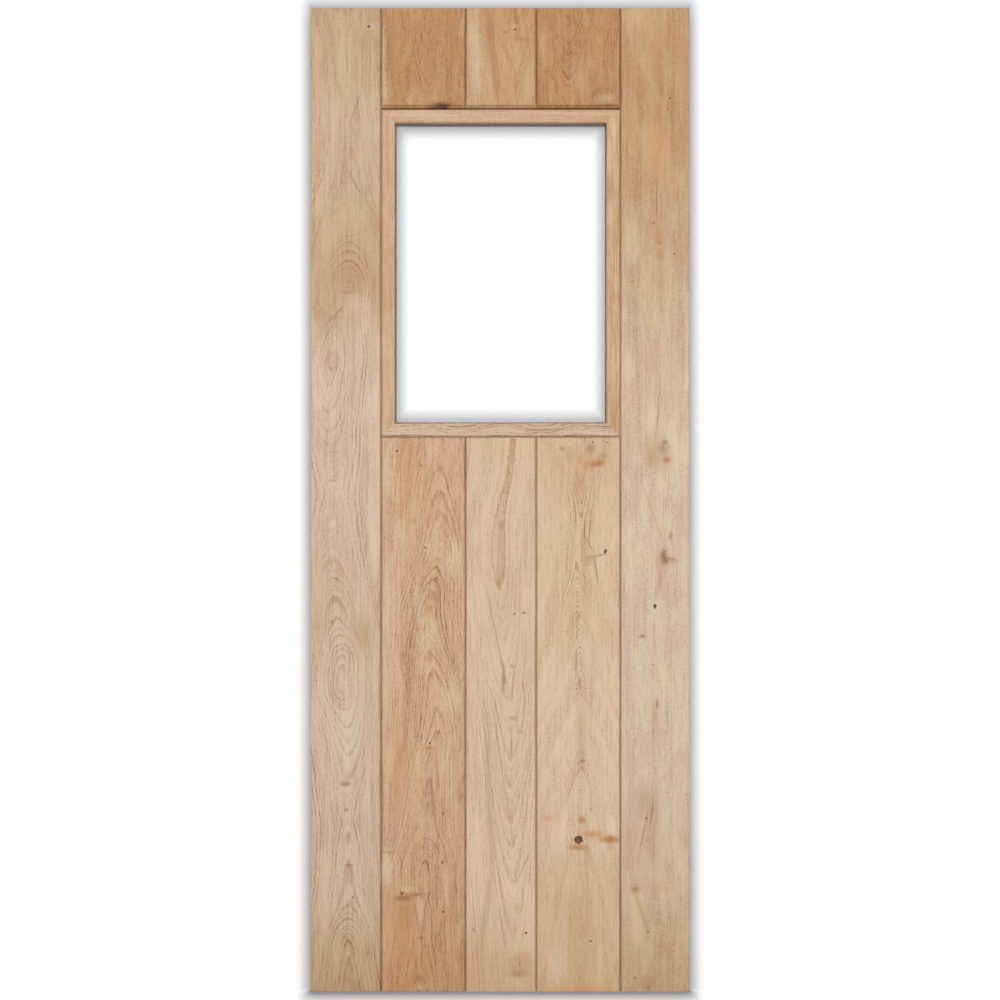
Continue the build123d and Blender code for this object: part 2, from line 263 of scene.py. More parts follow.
# What breaks the lines up. Noise from the first level to the second carries their strength from the third to
# the fourth, in short dashes and in slow fading. They thin out between these reaches from the heart
DASH_LEVELS = (0.34, 0.62, 0.45, 1.0)
FADE_LEVELS = (0.34, 0.60, 0.40, 1.0)
THINNING = (1.0, 2.4)

# The noise levels over which vessels open, and the shares of a ring over which they gain strength
VESSEL_LEVELS = (0.56, 0.72)
VESSEL_RING = (0.1, 0.7, 0.45, 1.0)

# The noise levels over which rays, rosy patches and creamy patches come up
RAY_LEVELS = (0.52, 0.72)
BLUSH_LEVELS = (0.50, 0.72)
CREAM_LEVELS = (0.50, 0.28)

# How dull the oak is, over its fine streaks, and how deep its pores lie, with a line's share of that
OAK_ROUGHNESS = (0.55, 0.68)
OAK_SHINE = 0.2
RELIEF_STRENGTH = 0.2
RELIEF_DEPTH = 0.0005
LINE_DEPTH = 0.5

# The levels between which a noise mostly swings
MID_LEVELS = (0.3, 0.7)


def write_figure(tree, inputs):
    """The rings and vessels of one piece of oak, cut from a log whose heart lies in front of its face."""
    place = inputs["Place"]
    x, y, z = tree.parts(place)
    shifted = tree.vector("ADD", place, tree.joined(inputs["Seed"], 0.0, inputs["Seed"]))
    long_place = tree.vector("MULTIPLY", shifted, LONG_GRAIN)
    wander = tree.swing(tree.noise(long_place, WANDER_SCALE, 2.0), inputs["Wander"])
    crinkled = tree.vector("MULTIPLY", shifted, CRINKLE_GRAIN)
    crinkle = tree.swing(tree.noise(crinkled, CRINKLE_SCALE, 4.0, 0.72), inputs["Crinkle"])
    across = tree.add(tree.maths("SUBTRACT", x, inputs["Heart"]), wander)
    under = tree.maths("MAXIMUM", tree.maths("SUBTRACT", inputs["Rise"], inputs["Base"]), SHALLOWEST_HEART)
    deep = tree.add(tree.maths("SUBTRACT", y, FACE), under)
    radius = tree.maths("SQRT", tree.add(tree.times(across, across), tree.times(deep, deep)))
    grown = tree.add(tree.add(radius, inputs["Base"]), crinkle)
    rings = tree.maths("DIVIDE", grown, inputs["Ring width"])
    year = tree.joined(tree.times(rings, YEAR_SCALE), inputs["Seed"], 0.0)
    rings = tree.add(rings, tree.swing(tree.noise(year, 1.0, 1.0), RING_UNEVENNESS))
    share = tree.maths("FRACT", rings)
    number = tree.maths("FLOOR", rings)
    own = tree.node("ShaderNodeTexWhiteNoise", tree.joined(number, inputs["Seed"], 0.0)).outputs["Value"]
    upright = tree.add(x, wander)

    def streaks(swings, detail=1.0, followed=upright):
        cross, along = swings
        laid = tree.joined(tree.times(followed, cross), inputs["Seed"], tree.times(z, along))
        return tree.noise(laid, 1.0, detail, 0.6)

    late = tree.between(share, *LATE_WOOD)
    edge = tree.between(share, *RING_END, 1.0, 0.0)
    strength = tree.between(own, 0.0, 1.0, *BOLDNESS, "LINEAR")
    half = tree.maths("ABSOLUTE", tree.maths("SUBTRACT", share, FAINT_LINE))
    faintness = tree.between(own, 0.2, 1.0, *FAINTNESS, "LINEAR")
    faint = tree.times(tree.between(half, 0.0, FAINT_HALF_WIDTH, 1.0, 0.0), faintness)
    dashes = tree.between(streaks(DASHES), *DASH_LEVELS)
    faded = tree.between(tree.noise(long_place, FADING_SCALE, 2.0), *FADE_LEVELS)
    away = tree.maths("DIVIDE", tree.maths("ABSOLUTE", across), inputs["Reach"])
    near = tree.between(away, *THINNING, 1.0, inputs["Far"])
    line = tree.maths("MAXIMUM", tree.times(tree.times(late, edge), strength), faint)
    line = tree.times(tree.times(tree.times(line, dashes), faded), near)
    pores = tree.between(streaks(VESSELS), *VESSEL_LEVELS)
    pores = tree.times(pores, tree.between(share, *VESSEL_RING))
    broad = streaks(BROAD_STREAKS, 2.0, grown)
    return [line, broad, streaks(MIDDLING_STREAKS, 2.0), streaks(FINE_STREAKS, 2.0), pores]


FIGURE = group(
    "oak figure",
    ("Place",),
    ("Heart", "Rise", "Base", "Ring width", "Seed", "Wander", "Crinkle", "Reach", "Far"),
    ("Line", "Broad", "Middling", "Fine", "Pores"),
    write_figure,
)

# What marks oak: the colour each kind of mark tends to, how strongly, and how soft its edge is
MARKS = {
    "pin": (paint(88, 56, 40), 0.95, 0.50),
    "knot": (paint(84, 50, 34), 0.85, 0.60),
    "open knot": (paint(122, 78, 66), 0.96, 0.30),
    "dark": (paint(122, 82, 54), 0.60, 0.90),
    "line": (paint(150, 104, 72), 0.60, 0.85),
    "check": (paint(112, 76, 50), 0.60, 0.90),
    "eye": (paint(156, 108, 80), 0.58, 0.38),
    "eye middle": (paint(207, 176, 152), 0.86, 0.40),
    "brown": (paint(164, 120, 84), 0.50, 0.99),
    "amber": (paint(172, 120, 64), 0.78, 0.95),
    "red": (paint(176, 112, 80), 0.42, 0.99),
    "orange": (paint(202, 146, 98), 0.45, 0.99),
    "olive": (paint(176, 142, 100), 0.42, 0.99),
    "pink": (paint(216, 184, 162), 0.50, 0.95),
    "pale": (paint(228, 206, 180), 0.36, 0.99),
    "tan": (paint(190, 152, 112), 0.50, 0.99),
}
KNOTS = ("knot", "open knot", "dark")


@dataclass
class Board:
    """How one piece of oak grew and was cut. Places are in millimetres from the leaf's middle and foot.

    heart, rise, base and tan are curves of (height, value) points. heart is where the log's heart lies across
    the board, rise the number of the ring that the face shows there, and base the number at the heart itself,
    so that the two say how far before the face the heart lies. tan is how tan the board is at each height:
    partly the oak's own tone, and partly painted shade where the light falls off towards the leaf's top and
    foot.

    ring is a ring's width. wander and crinkle are how far the rings stray, broadly and finely. Beyond reach
    of the heart, far is what is left of their lines. Colours are out of 255, and line to rays are strengths.
    groove_foot is where the painted shade in the V-joints starts, and groove_gap the middle and half height
    of a stretch without it. along is the axis that the grain runs along, and a board along X has its places
    turned with it.
    """
    heart: tuple
    rise: tuple
    base: tuple
    marks: tuple = ()
    tan: tuple = ()
    ring: float = 5.4
    seed: float = 0.0
    wander: float = 3.0
    crinkle: float = 1.6
    reach: float = 500.0
    far: float = 1.0
    tone: tuple = (206, 178, 151)
    deep: tuple = (152, 106, 72)
    light: tuple = (228, 206, 182)
    line: float = 0.55
    streak: float = 0.38
    mottle: float = 0.32
    pores: float = 0.22
    blotch: float = 0.14
    drift: float = 0.30
    rays: float = 0.0
    groove_foot: float = None
    groove_gap: tuple = None
    along: str = "Z"


# What a board's colour is multiplied by where it is wholly tan, and the two colours that it drifts to. Its
# tan is partly the oak's own tone and partly painted shade, darker where the light falls off at the leaf's
# top and foot
TAN_AND_FALLOFF_SHADE = (0.72, 0.58, 0.40, 1.0)
BLUSH = paint(212, 176, 154)
CREAM = paint(222, 200, 166)

# The painted shade in the V-joints: its colour and strength, the hanging edges without it, and where it
# starts and ends
GROOVE_SHADE = paint(122, 80, 46)
GROOVE_SHADE_STRENGTH = 0.4
HANGING_EDGE = (0.377, 0.379)
GROOVE_TOP = (0.0007, 0.003)
GROOVE_BOTTOM = (0.004, 0.008)

# Unevenness of a board's colour and of its marks' edges
UNEVEN_SCALE = 210.0
PATCH_SCALE = 30.0
PATCH_GRAIN = (1.0, 1.0, 0.3)
RAGGED_FINE = 0.7
RAGGED_BROAD = 0.9
MARK_SHIFT = 0.003

# How much the rings swell round a knot, as a share of a ring for each millimetre of its size. The swelling's
# half size is the knot's, times the first number here, and the second in millimetres more
KNOT_SWELL = 0.10
SWELL_ACROSS = (2.4, 3)
SWELL_ALONG = (3.0, 6)
SWELL_SOFTNESS = 0.99


def full_mark(kind, across, height, half_width, half_height, lean=0.0, share=1.0):
    """A mark with its lean in degrees and its share of its kind's strength, if it is written without them."""
    return kind, across, height, half_width, half_height, lean, share


def write_groove_shade(tree, place, board):
    """The painted shade in the V-joints at a board's edges: nothing on its face, most at their bottom."""
    x, y, z = tree.parts(place)
    joint = tree.between(tree.maths("ABSOLUTE", x), *HANGING_EDGE, GROOVE_SHADE_STRENGTH, 0.0)
    sunk = tree.between(y, *[FACE + depth for depth in GROOVE_TOP])
    shallow = tree.between(y, *[FACE + depth for depth in GROOVE_BOTTOM], 1.0, 0.0)
    above = tree.between(z, board.groove_foot * MM, (board.groove_foot + 2) * MM)
    dark = tree.times(tree.times(joint, above), tree.times(sunk, shallow))
    if board.groove_gap is not None:
        middle, half = board.groove_gap
        off = tree.maths("ABSOLUTE", tree.add(z, -middle * MM))
        dark = tree.times(dark, tree.maths("GREATER_THAN", off, half * MM))
    return dark


def cover(tree, place, mark, softness, ragged=None):
    """How much a mark covers a place on its board."""
    _, across, height, half_width, half_height, lean, _ = mark
    return tree.use(SPOT, Place=place, Middle=(across * MM, 0, height * MM),
                    Half_size=(half_width * MM, 1, half_height * MM), Lean=math.radians(lean),
                    Softness=softness, Ragged=ragged)["Cover"]


def write_growth(tree, board, place, marks, rough_place):
    """A board's figure, with its rings swollen round its knots."""
    height = tree.parts(place)["Z"]
    heart = tree.curve(height, [(h * MM, x * MM) for h, x in board.heart])
    rise = tree.curve(height, [(h * MM, n * board.ring * MM) for h, n in board.rise])
    base = tree.curve(height, [(h * MM, n * board.ring * MM) for h, n in board.base])
    for kind, across, middle, half_width, half_height, _, _ in marks:
        if kind in KNOTS:
            swell_width = SWELL_ACROSS[0] * half_width + SWELL_ACROSS[1]
            swell_height = SWELL_ALONG[0] * half_height + SWELL_ALONG[1]
            swelling = full_mark(kind, across, middle, swell_width, swell_height)
            size = KNOT_SWELL * (half_width + half_height) * board.ring * MM
            lift = tree.times(cover(tree, rough_place, swelling, SWELL_SOFTNESS), size)
            rise = tree.add(rise, lift)
            base = tree.add(base, lift)
    return tree.use(FIGURE, Place=place, Heart=heart, Rise=rise, Base=base,
                    Ring_width=board.ring * MM, Seed=board.seed, Wander=board.wander * MM,
                    Crinkle=board.crinkle * MM, Reach=board.reach * MM, Far=board.far)


def write_shade(tree, board, place, figure, uneven):
    """How dark the figure makes a board: 1 is its deep colour, 0 its tone and -1 its light colour."""
    shade = tree.swing(figure["Broad"], board.streak)
    shade = tree.add(shade, tree.swing(figure["Middling"], board.streak))
    shade = tree.add(shade, tree.swing(figure["Fine"], board.streak))
    shade = tree.add(shade, tree.swing(uneven, board.mottle))
    shade = tree.maths("MULTIPLY_ADD", figure["Line"], board.line, shade)
    shade = tree.maths("MULTIPLY_ADD", figure["Pores"], board.pores, shade)
    if board.rays:
        x, _, z = tree.parts(place)
        laid = tree.joined(tree.times(x, RAYS[0]), board.seed, tree.times(z, RAYS[1]))
        rays = tree.between(tree.noise(laid, 1.0, 2.0), *RAY_LEVELS)
        shade = tree.maths("MULTIPLY_ADD", rays, -board.rays, shade)
    return shade


def write_colour(tree, board, place, shade, patchy):
    """A board's colour before its marks: its shade, its rosy and creamy patches, and how tan it is, which is
    partly painted shade of the light falling off towards the leaf's top and foot.
    """
    colour = tree.mix(tree.between(shade, 0.0, 1.0, kind="LINEAR"), paint(*board.tone), paint(*board.deep))
    colour = tree.mix(tree.between(shade, 0.0, -1.0, kind="LINEAR"), colour, paint(*board.light))
    colour = tree.mix(tree.between(patchy, *BLUSH_LEVELS, 0.0, board.drift), colour, BLUSH)
    colour = tree.mix(tree.between(patchy, *CREAM_LEVELS, 0.0, board.drift), colour, CREAM)
    # Darker and oranger towards the leaf's top and foot: partly the oak's own tone, partly painted shade of
    # falling-off light
    if board.tan:
        amount = tree.curve(tree.parts(place)["Z"], [(h * MM, share) for h, share in board.tan])
        amount = tree.add(amount, tree.swing(patchy, board.blotch))
        colour = tree.mix(amount, colour, TAN_AND_FALLOFF_SHADE, "MULTIPLY")
    return colour


def write_surface(tree, figure, colour):
    """A board's dull surface, with its pores and lines a little sunk."""
    shader = tree.node("ShaderNodeBsdfPrincipled")
    tree.fill(shader.inputs["Base Color"], colour)
    tree.fill(shader.inputs["Roughness"], tree.between(figure["Fine"], *MID_LEVELS, *OAK_ROUGHNESS))
    shader.inputs["Specular IOR Level"].default_value = OAK_SHINE
    bump = tree.node("ShaderNodeBump")
    bump.inputs["Strength"].default_value = RELIEF_STRENGTH
    bump.inputs["Distance"].default_value = RELIEF_DEPTH
    hollow = tree.add(tree.times(figure["Pores"], -1.0), tree.times(figure["Line"], -LINE_DEPTH))
    tree.fill(bump.inputs["Height"], hollow)
    tree.fill(shader.inputs["Normal"], bump.outputs[0])
    output = tree.node("ShaderNodeOutputMaterial")
    tree.fill(output.inputs["Surface"], shader.outputs[0])


def oak(name, board):
    """The material of one board."""
    material = bpy.data.materials.new(name)
    material.use_nodes = True
    tree = Tree(material.node_tree)
    material.node_tree.nodes.clear()
    place = tree.node("ShaderNodeTexCoord").outputs["Object"]
    if board.along == "X":
        x, y, z = tree.parts(place)
        place = tree.joined(z, y, x)
    uneven = tree.noise(place, UNEVEN_SCALE, 3.0, 0.65)
    drawn_out = tree.vector("MULTIPLY_ADD", place, PATCH_GRAIN, (board.seed, 0.0, board.seed))
    patchy = tree.noise(drawn_out, PATCH_SCALE, 3.0, 0.6)
    ragged = tree.add(tree.swing(uneven, RAGGED_FINE), tree.swing(patchy, RAGGED_BROAD))
    moved = tree.swing(uneven, MARK_SHIFT)
    rough_place = tree.vector("ADD", place, tree.joined(moved, 0.0, moved))
    marks = [full_mark(*mark) for mark in board.marks]

    figure = write_growth(tree, board, place, marks, rough_place)
    colour = write_colour(tree, board, place, write_shade(tree, board, place, figure, uneven), patchy)
    for mark in marks:
        ink, strength, softness = MARKS[mark[0]]
        share = mark[-1]
        spot = cover(tree, rough_place, mark, softness, ragged)
        colour = tree.mix(tree.times(spot, strength * share), colour, ink)
    # Painted shade in the V-joints, darkening their bevels
    if board.groove_foot is not None:
        colour = tree.mix(write_groove_shade(tree, place, board), colour, GROOVE_SHADE)
    write_surface(tree, figure, colour)
    return material


BOARDS = {
    "left_outer_board": Board(
        seed=1.3, tone=(210, 185, 160), deep=(154, 108, 74), line=0.66, streak=0.42, crinkle=2.0,
        groove_foot=2,
        tan=(
            (0, 0.84), (110, 0.50), (300, 0), (620, 0), (770, 0.15), (950, 0), (1230, 0), (1330, 0.25),
            (1430, 0.64), (1530, 0.58), (1660, 0.38), (1800, 0.42), (1981, 0.65),
        ),
        heart=(
            (1981, -316), (1842, -312), (1748, -302), (1601, -302), (1424, -308), (1353, -326),
            (1269, -338), (1164, -345), (1071, -337), (930, -338), (835, -335), (735, -326), (677, -318),
            (624, -321), (576, -316), (463, -306), (387, -310), (322, -306), (14, -304),
        ),
        rise=(
            (1981, 0), (1941, 1), (1918, 3), (1886, 5), (1868, 6.2), (1838, 7.5), (1736, 8.5), (1650, 8.5),
            (1605, 8), (1560, 5.6), (1500, 2.5), (1450, -1), (1426, -3.5), (1410, -5), (1383, -6),
            (1329, -8), (1289, -10), (1269, -10.6), (1248, -10), (1202, -8), (1164, -6), (1122, -4),
            (1067, -2), (1027, -1), (1001, -0.6), (970, -1), (914, -2), (840, -4), (799, -6), (735, -8),
            (705, -10), (677, -12), (624, -13.4), (588, -12), (562, -10), (501, -8), (463, -7), (363, -5),
            (342, -4.7), (322, -5), (266, -6), (191, -7), (147, -9), (117, -12), (75, -14), (0, -15),
        ),
        base=(
            (1981, -1.2), (1838, 6.3), (1736, 4), (1640, -2), (1560, -8), (1480, -8), (1410, -6.8),
            (1269, -11.2), (1122, -11.5), (1001, -12.5), (799, -14), (624, -15.6), (463, -14), (342, -11),
            (110, -15.2), (0, -19),
        ),
        marks=(
            ("pale", -260, 1944, 7, 6), ("knot", -264, 1944, 3.5, 3), ("line", -293, 1775, 1.3, 32, 20),
            ("red", -299, 1690, 3.5, 11), ("line", -368, 1667, 1.4, 34, 0, 0.6),
            ("line", -293, 1629, 1.3, 27, -29), ("brown", -304, 1440, 30, 40, 0, 0.5),
            ("line", -308, 1408, 10, 2, 8), ("pink", -294, 1385, 18, 20), ("line", -335, 1360, 1.5, 32, 42),
            ("pale", -270, 1352, 10, 40), ("eye", -337, 1268, 9.5, 20),
            ("eye middle", -337, 1268, 6.2, 15.5), ("pale", -266, 1184, 10, 30, 8),
            ("red", -336, 1088, 6, 4), ("line", -338, 1030, 8, 2, 0, 0.6), ("red", -336, 977, 3.5, 9),
            ("pale", -337, 946, 7, 20), ("tan", -276, 719, 16, 32), ("pale", -320, 619, 10, 16),
            ("pale", -373, 564, 8, 56), ("line", -312, 419, 9, 4), ("line", -310, 366, 4, 3),
            ("brown", -306, 310, 4, 9), ("line", -303, 255, 7, 2.5), ("pin", -295, 191, 1.8, 1.8),
            ("red", -299, 183, 3, 8),
        ),
    ),
    "right_outer_board": Board(
        seed=4.1, tone=(212, 187, 162), deep=(154, 110, 76), line=0.28, wander=8, rays=0.36, blotch=0.30,
        streak=0.44, mottle=0.56, drift=0.70, pores=0.12, groove_foot=2, groove_gap=(1447.5, 329.5),
        tan=(
            (0, 0.80), (110, 0.60), (215, 0.33), (316, 0.20), (420, 0), (800, 0), (1020, 0.08),
            (1222, 0.22), (1424, 0.49), (1525, 0.64), (1625, 0.81), (1775, 0.96), (1981, 0.88),
        ),
        heart=((1981, 125), (4, 121)),
        rise=((1981, 0), (4, 1.5)),
        base=((1981, -3), (4, -2)),
        marks=(
            ("red", 341, 1941, 1.5, 38, -2, 1.4), ("olive", 273, 1913, 1.6, 32),
            ("pin", 342, 1799, 1.8, 1.8), ("orange", 319, 1695, 16, 50), ("check", 315, 1589, 1.3, 36, 1),
            ("dark", 309, 1548, 3, 3), ("red", 319, 1522, 8, 16, 0, 1.3), ("dark", 323, 1508, 3, 3),
            ("brown", 323, 1484, 6, 16), ("pin", 351, 1486, 1.6, 1.6), ("olive", 325, 1430, 3.5, 26),
            ("olive", 328, 1364, 3.5, 20, 0, 0.8), ("line", 319, 1178, 1.6, 52, 4, 0.7),
            ("olive", 312, 1085, 20, 26), ("dark", 332, 1107, 4, 4), ("brown", 329, 1096, 8, 10),
            ("amber", 336, 1072, 7, 5), ("olive", 303, 1072, 3, 14, 0, 1.2),
            ("red", 307, 965, 2, 60, -20, 0.7), ("brown", 327, 870, 14, 20, 0, 0.8),
            ("dark", 329, 881, 4.5, 9, 14, 1.2), ("dark", 333, 869, 4, 7, -8, 1.3),
            ("line", 343, 872, 10, 2.5, 12), ("olive", 345, 866, 12, 4, 0, 1.2), ("line", 344, 918, 3, 8),
            ("brown", 322, 826, 5, 20), ("olive", 314, 805, 3, 14), ("pin", 312, 777, 2.4, 5, 0, 1.2),
            ("red", 287, 716, 9, 3, 0, 1.3), ("line", 287, 717, 3, 3), ("olive", 310, 725, 1.6, 24),
            ("pin", 309, 658, 1.6, 2), ("line", 316, 580, 2, 9), ("red", 312, 556, 4, 24, 0, 0.8),
            ("red", 316, 524, 9, 9, 0, 0.5), ("olive", 332, 431, 2.5, 7),
            ("brown", 292, 379, 24, 32, 0, 0.8), ("line", 306, 361, 2, 26, 6), ("pin", 295, 349, 1.6, 1.8),
            ("red", 296, 300, 22, 44, 0, 0.6), ("pale", 284, 325, 2.5, 34, 12),
            ("check", 288, 318, 1.2, 30, 12, 0.7), ("brown", 274, 208, 9, 8), ("line", 272, 206, 4, 4),
            ("orange", 322, 210, 14, 8, 0, 0.6), ("olive", 285, 161, 3.5, 40, -19, 1.2),
            ("pin", 298, 121, 1.5, 1.5), ("brown", 297, 17, 13, 12), ("line", 299, 8, 3, 4),
            ("pin", 271, 28, 1.6, 1.6),
        ),
    ),
    "lower_left_board": Board(
        seed=7.7, tone=(205, 168, 134), deep=(148, 98, 62), light=(226, 198, 170), line=0.95, streak=0.50,
        mottle=0.42, pores=0.42, crinkle=2.0, reach=40, far=0.5, blotch=0.18, groove_foot=2,
        tan=(
            (0, 0.72), (56, 0.54), (155, 0.35), (255, 0.20), (400, 0.10), (520, 0), (900, 0), (1000, 0.06),
            (1117, 0.06),
        ),
        heart=(
            (1112, -109), (1015, -123), (908, -119), (850, -131), (810, -137), (729, -145), (646, -135),
            (542, -125), (467, -137), (326, -149), (262, -151), (175, -159), (4, -163),
        ),
        rise=(
            (1112, 14), (1015, 12), (908, 9), (850, 7.5), (810, 6), (729, 4.5), (646, 2), (542, 0),
            (427, -2), (326, -3.5), (262, -8), (175, -9), (103, -9.6), (4, -12),
        ),
        base=((1112, 8), (810, 1), (646, -3.5), (542, -5.5), (326, -9), (175, -14), (4, -17)),
        marks=(
            ("pin", -208, 1089, 2, 2), ("pin", -115, 1112, 1.8, 1.8), ("pin", -79, 1113, 1.5, 1.5),
            ("olive", -159, 1057, 6, 5), ("pin", -159, 1060, 1.8, 1.8), ("pin", -151, 895, 1.8, 1.8),
            ("pin", -128, 833, 1.5, 2, 0, 0.8), ("pin", -180, 805, 1.6, 1.6),
            ("pin", -95, 786, 1.6, 1.6, 0, 0.8), ("orange", -182, 1030, 16, 70, 0, 0.7),
            ("olive", -125, 967, 6, 8), ("red", -146, 950, 5, 9), ("brown", -92, 950, 14, 30, 0, 0.5),
            ("pale", -91, 870, 16, 34), ("orange", -144, 765, 6, 10), ("red", -142, 669, 4, 8),
            ("pale", -94, 596, 18, 34), ("pale", -222, 700, 10, 330, 0, 0.5), ("pin", -141, 501, 2, 2),
            ("amber", -141, 491, 10, 3), ("amber", -142, 478, 3, 10), ("orange", -204, 461, 18, 60, 0, 0.9),
            ("line", -138, 417, 1.4, 40), ("amber", -145, 377, 3, 6), ("pin", -114, 359, 1.5, 3),
            ("pin", -116, 261, 1.5, 2), ("line", -226, 281, 10, 1.8), ("pale", -230, 254, 9, 24, 0, 1.5),
            ("amber", -191, 158, 20, 34, 0, 0.62), ("dark", -195, 189, 13, 5, 0, 1.1),
            ("knot", -197, 199, 3, 3), ("pale", -186, 206, 9, 4), ("line", -165, 196, 13, 3, 0, 1.2),
            ("line", -166, 145, 1.8, 36, -11), ("line", -154, 145, 1.8, 34, 7), ("pale", -160, 155, 5, 24),
            ("dark", -159, 108, 5, 2.5), ("amber", -158, 73, 1.8, 28, 4),
            ("orange", -118, 155, 12, 12, 0, 0.8), ("pin", -114, 161, 2.2, 2),
            ("orange", -202, 85, 36, 90, 0, 0.7), ("brown", -165, 24, 13, 14),
            ("pale", -163, 10, 6, 6, 0, 0.7),
        ),
    ),
    "lower_middle_board": Board(
        seed=2.9, tone=(219, 191, 163), deep=(166, 120, 84), line=0.72, streak=0.40, mottle=0.36,
        pores=0.20, groove_foot=2,
        tan=(
            (0, 0.55), (56, 0.42), (155, 0.14), (255, 0), (470, 0), (600, 0.08), (860, 0.12), (960, 0.15),
            (1117, 0.25),
        ),
        heart=(
            (1112, 26), (1081, 24), (1025, 16), (959, 2), (896, -2), (846, -1), (789, 2), (709, 7),
            (628, 10), (548, 22), (375, 20), (208, 25), (4, 26),
        ),
        rise=(
            (1112, 0.6), (991, 0.5), (950, 0.37), (896, 0), (840, 0.37), (789, 1.2), (739, 2.1), (669, 3.4),
            (608, 4.6), (497, 6.5), (375, 8.5), (208, 11), (85, 12.5), (4, 13.5),
        ),
        base=((1112, -4.6), (896, -4.6), (600, -3), (375, 1), (208, 2.5), (4, 4)),
        marks=(
            ("pink", -20, 800, 24, 160, 0, 0.5), ("eye", 0, 884, 7, 58, 0, 0.8), ("pink", 0, 884, 5, 46),
            ("brown", 1, 942, 4, 10), ("olive", -3, 824, 5, 9), ("pin", 29, 761, 1.7, 1.7),
            ("pin", 48, 762, 1.7, 1.7), ("pin", -25, 921, 1.3, 1.3, 0, 0.7),
            ("line", -8, 717, 1.6, 76, -12, 0.8), ("brown", 25, 656, 4, 3, 0, 1.3),
            ("line", 26, 620, 1.3, 30, 4), ("line", 7, 628, 3, 20), ("brown", 27, 551, 8, 4),
            ("olive", 21, 528, 5, 5), ("olive", 38, 526, 4, 5), ("line", 23, 495, 2, 20),
            ("brown", -22, 387, 6, 110, -3, 0.8), ("brown", -26, 175, 6, 80, 8, 0.7),
            ("line", 6, 431, 1.4, 86, -9, 0.8), ("line", 48, 254, 1.6, 34, 24, 0.7),
            ("olive", 34, 169, 5, 7), ("pin", 52, 119, 1.8, 1.8), ("eye", 34, 57, 21, 19, 0, 0.5),
            ("pale", 34, 60, 16, 14, 0, 0.4), ("orange", 48, 60, 10, 12, 0, 0.8),
            ("check", 40, 55, 1.3, 6.5), ("brown", 38, 37, 20, 6, 0, 1.2), ("line", -53, 124, 1.2, 8, -35),
            ("tan", -36, 60, 30, 60, 0, 0.6),
        ),
    ),
    "lower_right_board": Board(
        seed=9.2, ring=4.5, tone=(219, 190, 160), deep=(158, 110, 76), line=0.80, streak=0.38, mottle=0.36,
        pores=0.22, crinkle=1.8, reach=16, far=0.22, blotch=0.18, groove_foot=2,
        tan=(
            (0, 0.62), (56, 0.45), (155, 0.34), (255, 0.19), (340, 0), (570, 0), (700, 0.10), (800, 0.14),
            (960, 0.14), (1061, 0.25), (1117, 0.25),
        ),
        heart=(
            (1112, 157), (1059, 161), (977, 164), (900, 157), (779, 155), (723, 161), (467, 163),
            (387, 159), (306, 157), (226, 161), (4, 163),
        ),
        rise=(
            (1112, -12), (977, 0), (900, 1), (840, 0), (779, -5), (723, -10), (602, -20), (465, -34),
            (306, -44), (167, -50), (4, -56),
        ),
        base=(
            (1112, -13.2), (977, -1.2), (900, -1), (840, -1.5), (779, -6.2), (723, -11.2), (602, -21.2),
            (465, -35.2), (306, -45.2), (167, -52), (4, -59),
        ),
        marks=(
            ("pin", 187, 1107, 1.8, 1.8), ("pin", 207, 1110, 1.6, 1.6), ("pin", 215, 1106, 1.6, 1.6),
            ("brown", 125, 1094, 6, 4), ("olive", 146, 1083, 14, 12), ("olive", 190, 1082, 26, 20, 0, 0.6),
            ("brown", 182, 1094, 7, 8, 0, 1.3), ("brown", 208, 1079, 7, 5, 0, 0.9),
            ("orange", 170, 1059, 18, 11), ("amber", 197, 1064, 13, 6, -12, 1.2),
            ("red", 160, 1020, 10, 26, 0, 0.6), ("line", 170, 932, 1.2, 20),
            ("line", 178, 905, 1.2, 18, -24), ("line", 196, 878, 16, 1.6, -12), ("pin", 212, 887, 2.4, 3.6),
            ("olive", 179, 870, 10, 10, 0, 1.1), ("line", 194, 845, 1.5, 20, -8),
            ("olive", 152, 750, 8, 8, 0, 0.7), ("brown", 158, 757, 3, 6, 0, 1.2),
            ("line", 153, 663, 1.3, 20), ("line", 160, 622, 3, 9), ("pin", 155, 611, 1.5, 1.5),
            ("pin", 162, 612, 1.5, 1.5), ("pin", 173, 611, 1.5, 1.5), ("line", 167, 465, 5, 3),
            ("brown", 164, 500, 6, 60, 0, 0.6), ("orange", 98, 350, 11, 7, 0, 1.2),
            ("amber", 165, 346, 6, 6, 0, 1.0), ("pin", 183, 367, 1.4, 1.4, 0, 0.7),
            ("pale", 129, 337, 6, 12), ("pale", 226, 340, 12, 14, 0, 1.4), ("amber", 157, 291, 15, 6),
            ("orange", 186, 317, 24, 9, 4), ("amber", 188, 318, 15, 4, 4, 0.5),
            ("amber", 222, 307, 15, 6, 0, 1.2), ("olive", 225, 295, 8, 9),
            ("open knot", 157.5, 306, 8.4, 8.4), ("pale", 111, 54, 16, 38),
            ("pale", 201, 63, 5, 30, 0, 0.8), ("tan", 163, 90, 22, 110, 0, 0.9),
            ("pin", 182, 102, 1.6, 1.6), ("orange", 160, 6, 60, 8),
        ),
    ),
    "upper_left_board": Board(
        seed=5.5, tone=(195, 155, 115), deep=(146, 96, 56), light=(214, 180, 142), line=0.56, streak=0.44,
        mottle=0.56, pores=0.40, crinkle=2.6, rays=0.20, blotch=0.20, groove_foot=1790,
        tan=((1781, 0.48), (1884, 0.66), (1981, 0.55)),
        heart=((1781, -140), (1981, -146)),
        rise=((1781, 6), (1981, 0)),
        base=((1781, 2), (1981, -2)),
        marks=(
            ("pale", -236, 1877, 5, 100, 0, 0.8), ("red", -100, 1940, 14, 30, 0, 0.6),
            ("line", -77, 1973, 2, 10), ("brown", -108, 1790, 24, 5), ("dark", -116, 1786, 22, 4),
